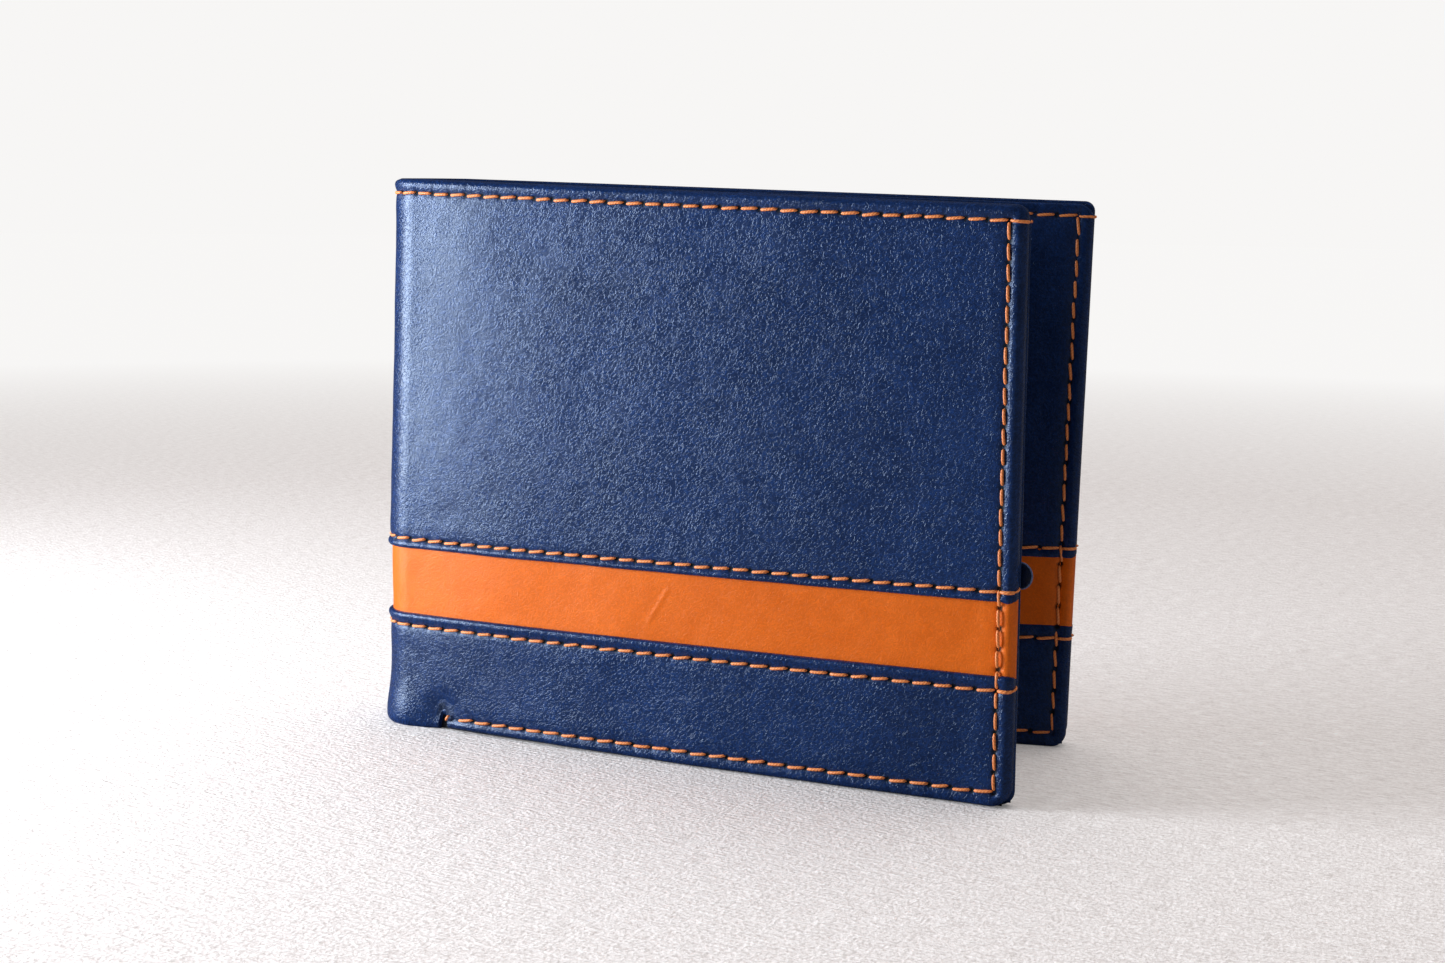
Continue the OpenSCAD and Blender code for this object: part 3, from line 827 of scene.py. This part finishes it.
def cover(side):
    """The three outer panels of one leaf with their share of the spine."""
    face = Face(side, 0, high=HEIGHT, side_turn=SIDE_TURN, end_turn=HEM_TURN)
    roll = Roll(2, -1, BAND_TOP)
    u = steps(*LEAF_STEPS, (EDGE_ZONE, FREE, 0.4), *edge_steps(LEAF, TOP_CORNER, SIDE_TURN, TUCK))
    v = steps(*backwards(roll_steps(roll)), (roll.start, TOP_SEAM + 1.2, 0.2),
              (TOP_SEAM + 1.2, TOP_SEAM + 5, 0.5), (TOP_SEAM + 5, TOP_Z - 4, 0.75),
              (TOP_Z - 4, TOP_Z - 1.2, 0.4), (TOP_Z - 1.2, HEIGHT - TOP_CORNER, 0.2),
              *edge_steps(HEIGHT, TOP_CORNER, HEM_TURN, HEM_TUCK))
    part = sheet_parts(face, u, v, COVER_T, (TOP_ROW, SIDE_ROW, UPPER_ROW), (roll,),
                       extra=upper_relief, seed=11)
    piece(side + "_cover_upper", [part], NAVY, [side + "_upper_cover", "spine_upper_cover"])

    face = Face(side, 0, low=0, corner=LOW_CORNER, side_turn=SIDE_TURN, end_turn=SIDE_TURN)
    roll = Roll(2, 1, BAND_LOW)
    u = steps(*NOTCH_STEPS, (EDGE_ZONE, LEAF - LOW_CORNER, 0.4),
              *edge_steps(LEAF, LOW_CORNER, SIDE_TURN, TUCK))
    v = steps(*backwards(edge_steps(0, LOW_CORNER, SIDE_TURN, TUCK, way=-1)), (LOW_CORNER, 6, 0.3),
              (6, LOW_SEAM - 1.2, 0.6), (LOW_SEAM - 1.2, roll.start, 0.2), *roll_steps(roll))
    part = sheet_parts(face, u, v, COVER_T, (SIDE_ROW, LOWER_ROW, BOTTOM_ROW), (roll,),
                       shape=notched, extra=lower_relief, painted_shade=notch_shade, seed=23)
    piece(side + "_cover_lower", [part], NAVY, [side + "_lower_cover", "spine_lower_cover"])

    face = Face(side, BAND_SUNK, side_turn=BAND_TURN, end_turn=BAND_TURN)
    u = steps(*LEAF_STEPS, (EDGE_ZONE, FREE, 0.4), *edge_steps(LEAF, TOP_CORNER, BAND_TURN, TUCK))
    v = steps((BAND_LOW - 2.4, BAND_LOW - 0.4, 0.7), (BAND_LOW - 0.4, BAND_TOP + 0.4, 0.4),
              (BAND_TOP + 0.4, BAND_TOP + 2.0, 0.7))
    part = sheet_parts(face, u, v, BAND_T, (BAND_SIDE_ROW,), extra=scratch, seed=37)
    piece(side + "_cover_band", [part], ORANGE, [side + "_band", "spine_band"])


def outer_stitches(side):
    """The cover's rows of stitches, and the threads that wrap round the free edge where they end."""
    face = Face(side, 0, low=0, high=HEIGHT, side_turn=SIDE_TURN, end_turn=HEM_TURN)
    edge_parts = [stitch_part(face, row) for row in (TOP_ROW, SIDE_ROW, BOTTOM_ROW)]
    edge_parts.append(stitch_part(face, KNOT, sink=-0.1))
    edge_parts.append(wrap_part(face, TOP_Z, SIDE_SEAM_S + 0.1, LEAF + 1.6, drop=0.2))
    seam_parts = [stitch_part(face, row) for row in (UPPER_ROW, LOWER_ROW)]
    for z, end, radius in ((TOP_SEAM, LEAF + 1.9, 0.16), (LOW_SEAM, LEAF + 1.7, 0.18)):
        seam_parts.append(wrap_part(face, z, SIDE_SEAM_S + 0.2, LEAF + 0.1, radius=0.3))
        seam_parts.append(wrap_part(face, z, LEAF + 0.1, end, drop=-0.5, radius=radius))
    return edge_parts, seam_parts


# ------------ the inner faces

INNER_ENDS = dict(low=0, high=INNER_TOP, corner=INNER_CORNER)
RIM = {"front": (FRONT_RIM_N, FRONT_MOUTH + 0.8, 0.1), "back": (BACK_FACE_N, BACK_FACE_S, 0.2)}


def rim(side):
    """The face at the free edge that carries the inner edge stitching, and its three rows."""
    n, s, puff = RIM[side]
    turn = (min(1.0, n - 2.7), 0.35, n - 2.3)
    face = Face(side, n, -1, side_turn=turn, end_turn=RIM_TOP_TURN, **INNER_ENDS)
    rows = [Seam((s, TOP_Z), (SIDE_SEAM_S, TOP_Z), puff=puff),
            Seam((SIDE_SEAM_S, TOP_Z), (SIDE_SEAM_S, INSET), puff=puff),
            Seam((s, INSET), (SIDE_SEAM_S, INSET), border=-1, puff=puff)]
    return face, rows


def inner_panel(face, z0, z1, mouths, rows, seed):
    """One piece of an inner face between two heights; its borders there are rolled or turned."""
    rolls = list(mouths)
    if z0 > 0:
        lower = Roll(2, -1, z0, r_out=0.3, r_in=0.2, depth=0.5)
        low_steps = backwards(roll_steps(lower)) + [(lower.start, z0 + 3, 0.3)]
        rolls.append(lower)
    else:
        low_steps = backwards(edge_steps(0, face.corner, face.end_turn, INNER_TUCK, way=-1))
        low_steps.append((face.corner, 4, 0.4))
    if z1 < INNER_TOP:
        upper = Roll(2, 1, z1, r_out=0.3, r_in=0.2, depth=0.5)
        high_steps = [(z1 - 3, upper.start, 0.3)] + roll_steps(upper)
        rolls.append(upper)
    else:
        high_steps = [(z1 - 4, z1 - face.corner, 0.4)]
        high_steps += edge_steps(z1, face.corner, face.end_turn, INNER_TUCK)
    v = steps(*low_steps, (low_steps[-1][1], high_steps[0][0], 0.9), *high_steps)
    begin = backwards(roll_steps(mouths[0]))
    if len(mouths) > 1:
        end = [(mouths[0].start, mouths[1].start, 0.45)] + roll_steps(mouths[1])
    else:
        end = [(mouths[0].start, LEAF - face.corner, 0.45)]
        end += edge_steps(LEAF, face.corner, face.side_turn, RIM_TUCK)
    return sheet_parts(face, steps(*begin, *end), v, PANEL_T, rows, rolls, seed=seed)


def inner_face(side, rim_face, rim_rows):
    """The inner face's three panels. The front leaf's is a pocket with a second mouth near the free
    edge, and the back leaf's reaches round the free edge. Gives the parts of their stitching."""
    if side == "front":
        n, s0, s1 = FRONT_FACE_N, FRONT_FACE_S, FRONT_MOUTH
        mouths = [Roll(0, -1, s0, r_out=0.4, r_in=0.3, depth=1.3),
                  Roll(0, 1, s1, r_out=0.3, r_in=0.25, depth=0.55)]
        seam_end = s1 - 0.6
        rows = [Seam((s0 + 1, TOP_Z), (s1 - 1, TOP_Z)),
                Seam((s0 + INSET, INSET), (s0 + INSET, TOP_Z)),
                Seam((s0 + 1, INSET), (s1 - 1, INSET), border=-1)]
    else:
        n, s0 = BACK_FACE_N, BACK_FACE_S
        mouths = [Roll(0, -1, s0, r_out=0.3, r_in=0.25, depth=0.6)]
        seam_end = SIDE_SEAM_S
        rows = rim_rows
    form = dict(free=side == "back", end_turn=(0.5, 0.4, n - 2.75), **INNER_ENDS)
    r_out, r_in, depth = rim_face.side_turn
    face = Face(side, n, -1, side_turn=rim_face.side_turn, **form)
    band_face = Face(side, n - 0.2, -1, side_turn=(r_out, r_in, depth - 0.15), **form)
    upper_row = Seam((s0 + 0.8, TOP_SEAM), (seam_end, TOP_SEAM), border=-1, inset=UPPER_INSET)
    lower_row = Seam((s0 + 0.8, LOW_SEAM), (seam_end, LOW_SEAM), inset=LOWER_INSET)

    body = side + "_leaf"
    part = inner_panel(face, BAND_TOP, INNER_TOP, mouths, rows + [upper_row], 41)
    piece(side + "_face_upper", [part], NAVY, [side + "_inner_upper"], body=body)
    part = inner_panel(band_face, BAND_LOW - 1.5, BAND_TOP + 1.5, mouths, rows[1:2], 43)
    piece(side + "_face_band", [part], ORANGE, [side + "_inner_band"], body=body)
    part = inner_panel(face, 0, BAND_LOW, mouths, rows + [lower_row], 47)
    piece(side + "_face_lower", [part], NAVY, [side + "_inner_lower"], body=body)

    edge_parts = [stitch_part(face, row) for row in rows] if side == "front" else []
    inner_parts = [stitch_part(face, row) for row in (upper_row, lower_row)]
    if side == "back":
        inner_parts += [wrap_part(rim_face, z, SIDE_SEAM_S + 0.2, LEAF + 0.7) for z in (TOP_SEAM, LOW_SEAM)]
    return edge_parts, inner_parts


def plain_sheet(side, name, n, reach, heights, thickness, finish, nodes):
    """A flat sheet inside a leaf. One that starts in the middle of the spine runs across the bend, and
    one of leather that starts on the leaf has a rolled mouth towards the spine."""
    s0, s1 = reach
    across = s0 == MIDDLE
    mouth = finish is NAVY and not across
    rolls = [Roll(0, -1, s0, r_out=0.18, r_in=0.15, depth=0.36)] if mouth else []
    begin = backwards(roll_steps(rolls[0])) if mouth else []
    u = steps(*begin, (rolls[0].start if mouth else s0, s1, 1.0))
    v = steps((*heights, 1.2))
    part = sheet_parts(Face(side, n, -1, free=False), u, v, thickness, (), rolls, seed=len(name), coarse=2)
    if across:
        piece(name, [part], finish, nodes)
    else:
        piece(name, [part], finish, nodes, body=side + "_leaf")


def front_mid_pocket(face, rows):
    """The front leaf's middle pocket panel, which also makes the rim round its free edge."""
    mouth = Roll(0, -1, FRONT_MID_S, r_out=0.25, r_in=0.2, depth=0.5)
    low = backwards(edge_steps(0, INNER_CORNER, RIM_TOP_TURN, INNER_TUCK, way=-1))
    high = edge_steps(INNER_TOP, INNER_CORNER, RIM_TOP_TURN, INNER_TUCK)
    u = steps(*backwards(roll_steps(mouth)), (mouth.start, LEAF - 12, 1.0),
              (LEAF - 12, LEAF - INNER_CORNER, 0.4),
              *edge_steps(LEAF, INNER_CORNER, face.side_turn, RIM_TUCK))
    v = steps(*low, (INNER_CORNER, 4, 0.4), (4, INNER_TOP - 4, 0.6),
              (INNER_TOP - 4, INNER_TOP - INNER_CORNER, 0.4), *high)
    part = sheet_parts(face, u, v, WALL_T, rows, (mouth,), seed=53)
    piece("front_mid_card_pocket", [part], NAVY, ["front_mid_pocket"], body="front_leaf")


def layers(side, rim_face, rim_rows):
    """The lining, the note pocket's wall, the card pockets and the board of one leaf."""
    plain_sheet(side, side + "_lining_cloth", LINING_N, (MIDDLE, LEAF - 1.5), (0.15, HEIGHT - 1.0), CLOTH_T,
                LINING, [side + "_lining", "spine_lining"])
    plain_sheet(side, side + "_note_panel", WALL_N, (MIDDLE, LEAF - 0.7), (2.6, INNER_TOP), WALL_T,
                NAVY, [side + "_note_wall", "spine_note_wall"])
    rear_s = FRONT_REAR_S if side == "front" else BACK_REAR_S
    plain_sheet(side, side + "_rear_card_pocket", REAR_N, (rear_s, LEAF - 0.6), (0.5, INNER_TOP), POCKET_T,
                NAVY, [side + "_rear_pocket"])
    if side == "front":
        front_mid_pocket(rim_face, rim_rows)
    else:
        plain_sheet(side, "back_mid_card_pocket", BACK_MID_N, (BACK_MID_S, LEAF - 0.6), (0.5, INNER_TOP),
                    POCKET_T, NAVY, ["back_mid_pocket"])
    plain_sheet(side, side + "_stiffener_board", BOARD_N, (BOARD_S, LEAF - BOARD_INSET),
                (BOARD_INSET, HEIGHT - BOARD_INSET), BOARD_T, BOARD, [side + "_stiffener"])


def leaf(side):
    """Everything on one leaf, with its share of the spine."""
    cover(side)
    rim_face, rim_rows = rim(side)
    edge_parts, seam_parts = outer_stitches(side)
    edge_parts += [stitch_part(rim_face, row, sink=0.14) for row in rim_rows]
    edge_parts.append(wrap_part(rim_face, TOP_Z, SIDE_SEAM_S + 0.1, LEAF + 0.5, radius=0.2))
    panel_parts, inner_parts = inner_face(side, rim_face, rim_rows)
    for name, parts in (("edge", edge_parts + panel_parts), ("seam", seam_parts)):
        piece(f"{side}_{name}_stitches", parts, THREAD, [f"{side}_{name}_thread", "spine_thread"])
    piece(side + "_inner_stitches", inner_parts, THREAD, [side + "_inner_thread"], body=side + "_leaf")
    layers(side, rim_face, rim_rows)


# ------------ the pull strap and its tab

def tab_part(n, turns=41, rings=7, back_len=8.0):
    """The tab with its half-round end: rings of points about its middle line, closed over a rounded edge."""
    radius = STRAP_W / 2
    centre_s = TIP_S - radius
    angle = -QUARTER + math.pi * np.arange(turns) / (turns - 1)
    arc = np.stack([centre_s + radius * np.cos(angle), STRAP_Z + radius * np.sin(angle)], -1)
    back = centre_s - back_len
    outline = np.concatenate([[(back, STRAP_Z - radius)], arc, [(back, STRAP_Z + radius)]])
    middle = np.stack([np.clip(outline[:, 0], None, centre_s), np.full(len(outline), STRAP_Z)], -1)
    soft = min(0.3, TAB_T / 2) / radius

    def ring(share, depth):
        edge = middle + (outline - middle) * share
        return np.stack([edge[:, 0], np.full(len(edge), depth), edge[:, 1]], -1)

    grid = [ring(k / (rings - 1) * (1 - soft), n + TAB_T) for k in range(rings)]
    for k in range(1, 9):
        turn = math.pi * k / 8
        grid.append(ring(1 - soft * (1 - math.sin(turn)), n + TAB_T / 2 + TAB_T / 2 * math.cos(turn)))
    grid.append(ring(0, n))
    grid = np.array(grid)
    count, width = grid.shape[:2]
    index = np.arange(count * width).reshape(count, width)
    faces = grid_faces(index)
    faces.append(index[:, 0].tolist())
    faces.append(index[::-1, -1].tolist())
    verts = place("front", grid).reshape(-1, 3)
    return verts, faces, grid[..., [0, 2, 1]].reshape(-1, 3), np.zeros(len(verts))


def tab_rim(n):
    """A painted highlight on the tab's edge: a thin round light line along its half-round end."""
    angle = np.linspace(-QUARTER, QUARTER, 31)
    radius = STRAP_W / 2 + 0.02
    path = np.stack([TIP_S - STRAP_W / 2 + radius * np.cos(angle), np.full(len(angle), n),
                     STRAP_Z + radius * np.sin(angle)], -1)
    normal = np.broadcast_to(np.array([0.0, -1.0, 0.0]), path.shape)
    return tubes("front", path[None], normal[None], 0.17, (radius * angle)[None])


def weld(obj):
    """Join the tab's rings where they meet on its middle line."""
    bm = bmesh.new()
    bm.from_mesh(obj.data)
    bmesh.ops.remove_doubles(bm, verts=bm.verts, dist=1e-6)
    bmesh.ops.dissolve_degenerate(bm, edges=bm.edges, dist=1e-7)
    bmesh.ops.recalc_face_normals(bm, faces=bm.faces)
    bm.to_mesh(obj.data)
    bm.free()


def pull():
    """The strap in the front leaf's outer pocket and the leather tab at its end."""
    half = STRAP_W / 2 - 0.1
    edges = dict(r_out=0.1, r_in=0.1, depth=0.22, tuck=0.3)
    low, high = Roll(2, -1, STRAP_Z - half, **edges), Roll(2, 1, STRAP_Z + half, **edges)
    face = Face("front", STRAP_N + STRAP_T, -1, free=False)
    u = steps((TIP_S - STRAP_LEN, TIP_S - 4.0, 0.8))
    v = steps(*backwards(roll_steps(low)), (low.start, high.start, 0.4), *roll_steps(high))
    part = sheet_parts(face, u, v, 0.08, (), (low, high), seed=61, coarse=2)
    piece("pull_ribbon", [part], LINING, ["pull_strap"], body="pull")

    part = tab_part(STRAP_N + 0.02)
    # The tab's leather is the darker copy, painted shade.
    weld(piece("pull_tab_leather", [part], TAB, ["pull_tab"], body="pull"))
    # A thin light line as a painted highlight on the rim of the tab.
    piece("pull_tab_rim_highlight", [tab_rim(STRAP_N + 0.33)], TAB_RIM_HIGHLIGHT, ["pull_tab"], body="pull")
    face = Face("front", STRAP_N + 0.02 + TAB_T, -1, free=False)
    start = TIP_S - 2.1 * STRAP_W
    row = Seam((start, STRAP_Z), (start + 6.8, STRAP_Z), border=0, pitch=3.4)
    piece("pull_stitches", [stitch_part(face, row, sink=-0.05)], THREAD, ["pull_thread"], body="pull")


for side in ("front", "back"):
    leaf(side)
pull()


# ------------ floor, light and camera

LIGHT_AIM = 0.045


def floor(radius=3.0, sides=64):
    """A round tablecloth, much larger than the wallet."""
    mesh = bpy.data.meshes.new("floor")
    rim = [(radius * math.cos(2 * math.pi * k / sides), radius * math.sin(2 * math.pi * k / sides), 0)
           for k in range(sides)]
    mesh.from_pydata(rim, [], [list(range(sides))])
    mesh.materials.append(table_cloth("linen"))
    obj = bpy.data.objects.new("floor", mesh)
    bpy.context.scene.collection.objects.link(obj)


def direction(azimuth, elevation):
    """A unit vector towards an azimuth, measured from the front, and an elevation, in degrees."""
    a, e = math.radians(azimuth), math.radians(elevation)
    return Vector((math.sin(a) * math.cos(e), -math.cos(a) * math.cos(e), math.sin(e)))


def sky_light(power, spread, tilt, color):
    """Even soft light from above, a little from behind the wallet."""
    light = bpy.data.lights.new("overhead", "SUN")
    light.energy = power
    light.angle = math.radians(spread)
    light.color = color
    obj = bpy.data.objects.new("overhead", light)
    obj.rotation_euler = (-math.radians(tilt), 0, 0)
    obj.visible_glossy = False
    bpy.context.scene.collection.objects.link(obj)


def area_light(name, azimuth, elevation, distance, size, power, color):
    """A soft rectangular light, aimed at the wallet's middle."""
    light = bpy.data.lights.new(name, "AREA")
    light.shape = "RECTANGLE"
    light.size, light.size_y = size
    light.energy = power
    light.color = color
    obj = bpy.data.objects.new(name, light)
    back = direction(azimuth, elevation)
    obj.location = Vector((0, 0, LIGHT_AIM)) + back * distance
    obj.rotation_euler = back.to_track_quat("Z", "Y").to_euler()
    obj.visible_camera = False
    bpy.context.scene.collection.objects.link(obj)


def camera(azimuth, elevation, roll, distance, target, lens):
    """A camera that looks at the target; angles are in degrees, the lens in millimetres."""
    a, r = math.radians(azimuth), math.radians(roll)
    back = direction(azimuth, elevation)
    right = Vector((math.cos(a), math.sin(a), 0))
    up = right.cross(-back)
    turned_right = math.cos(r) * right + math.sin(r) * up
    turned_up = -math.sin(r) * right + math.cos(r) * up
    obj = bpy.data.objects.new("camera", bpy.data.cameras.new("camera"))
    obj.data.lens = lens
    obj.data.sensor_width = 36
    obj.data.clip_start = 0.01
    position = Vector(target) + back * distance
    obj.matrix_world = Matrix((
        (turned_right.x, turned_up.x, back.x, position.x),
        (turned_right.y, turned_up.y, back.y, position.y),
        (turned_right.z, turned_up.z, back.z, position.z),
        (0, 0, 0, 1)))
    bpy.context.scene.collection.objects.link(obj)
    bpy.context.scene.camera = obj


def studio(ambient=0.08):
    """A pale backdrop that lights the wallet only a little."""
    world = bpy.data.worlds.new("studio")
    world.use_nodes = True
    tree = world.node_tree
    seen_by = tree.nodes.new("ShaderNodeLightPath")
    strength = tree.nodes.new("ShaderNodeMapRange")
    strength.inputs["To Min"].default_value = ambient
    strength.inputs["To Max"].default_value = SEEN
    tree.links.new(seen_by.outputs["Is Camera Ray"], strength.inputs["Value"])
    tree.nodes["Background"].inputs["Color"].default_value = BACKDROP
    tree.links.new(strength.outputs[0], tree.nodes["Background"].inputs["Strength"])
    bpy.context.scene.world = world


floor()
area_light("window", azimuth=-66, elevation=9, distance=0.34, size=(0.165, 0.2), power=2.12,
           color=(0.86, 0.93, 1.0))
sky_light(power=2.0, spread=70, tilt=20, color=(1.0, 0.985, 0.97))
camera(azimuth=20.43, elevation=7.65, roll=0.68, distance=0.3865, target=(0.00171, 0, 0.04468), lens=57.44)
studio()
bpy.context.scene.view_settings.view_transform = "Standard"
bpy.context.view_layer.update()
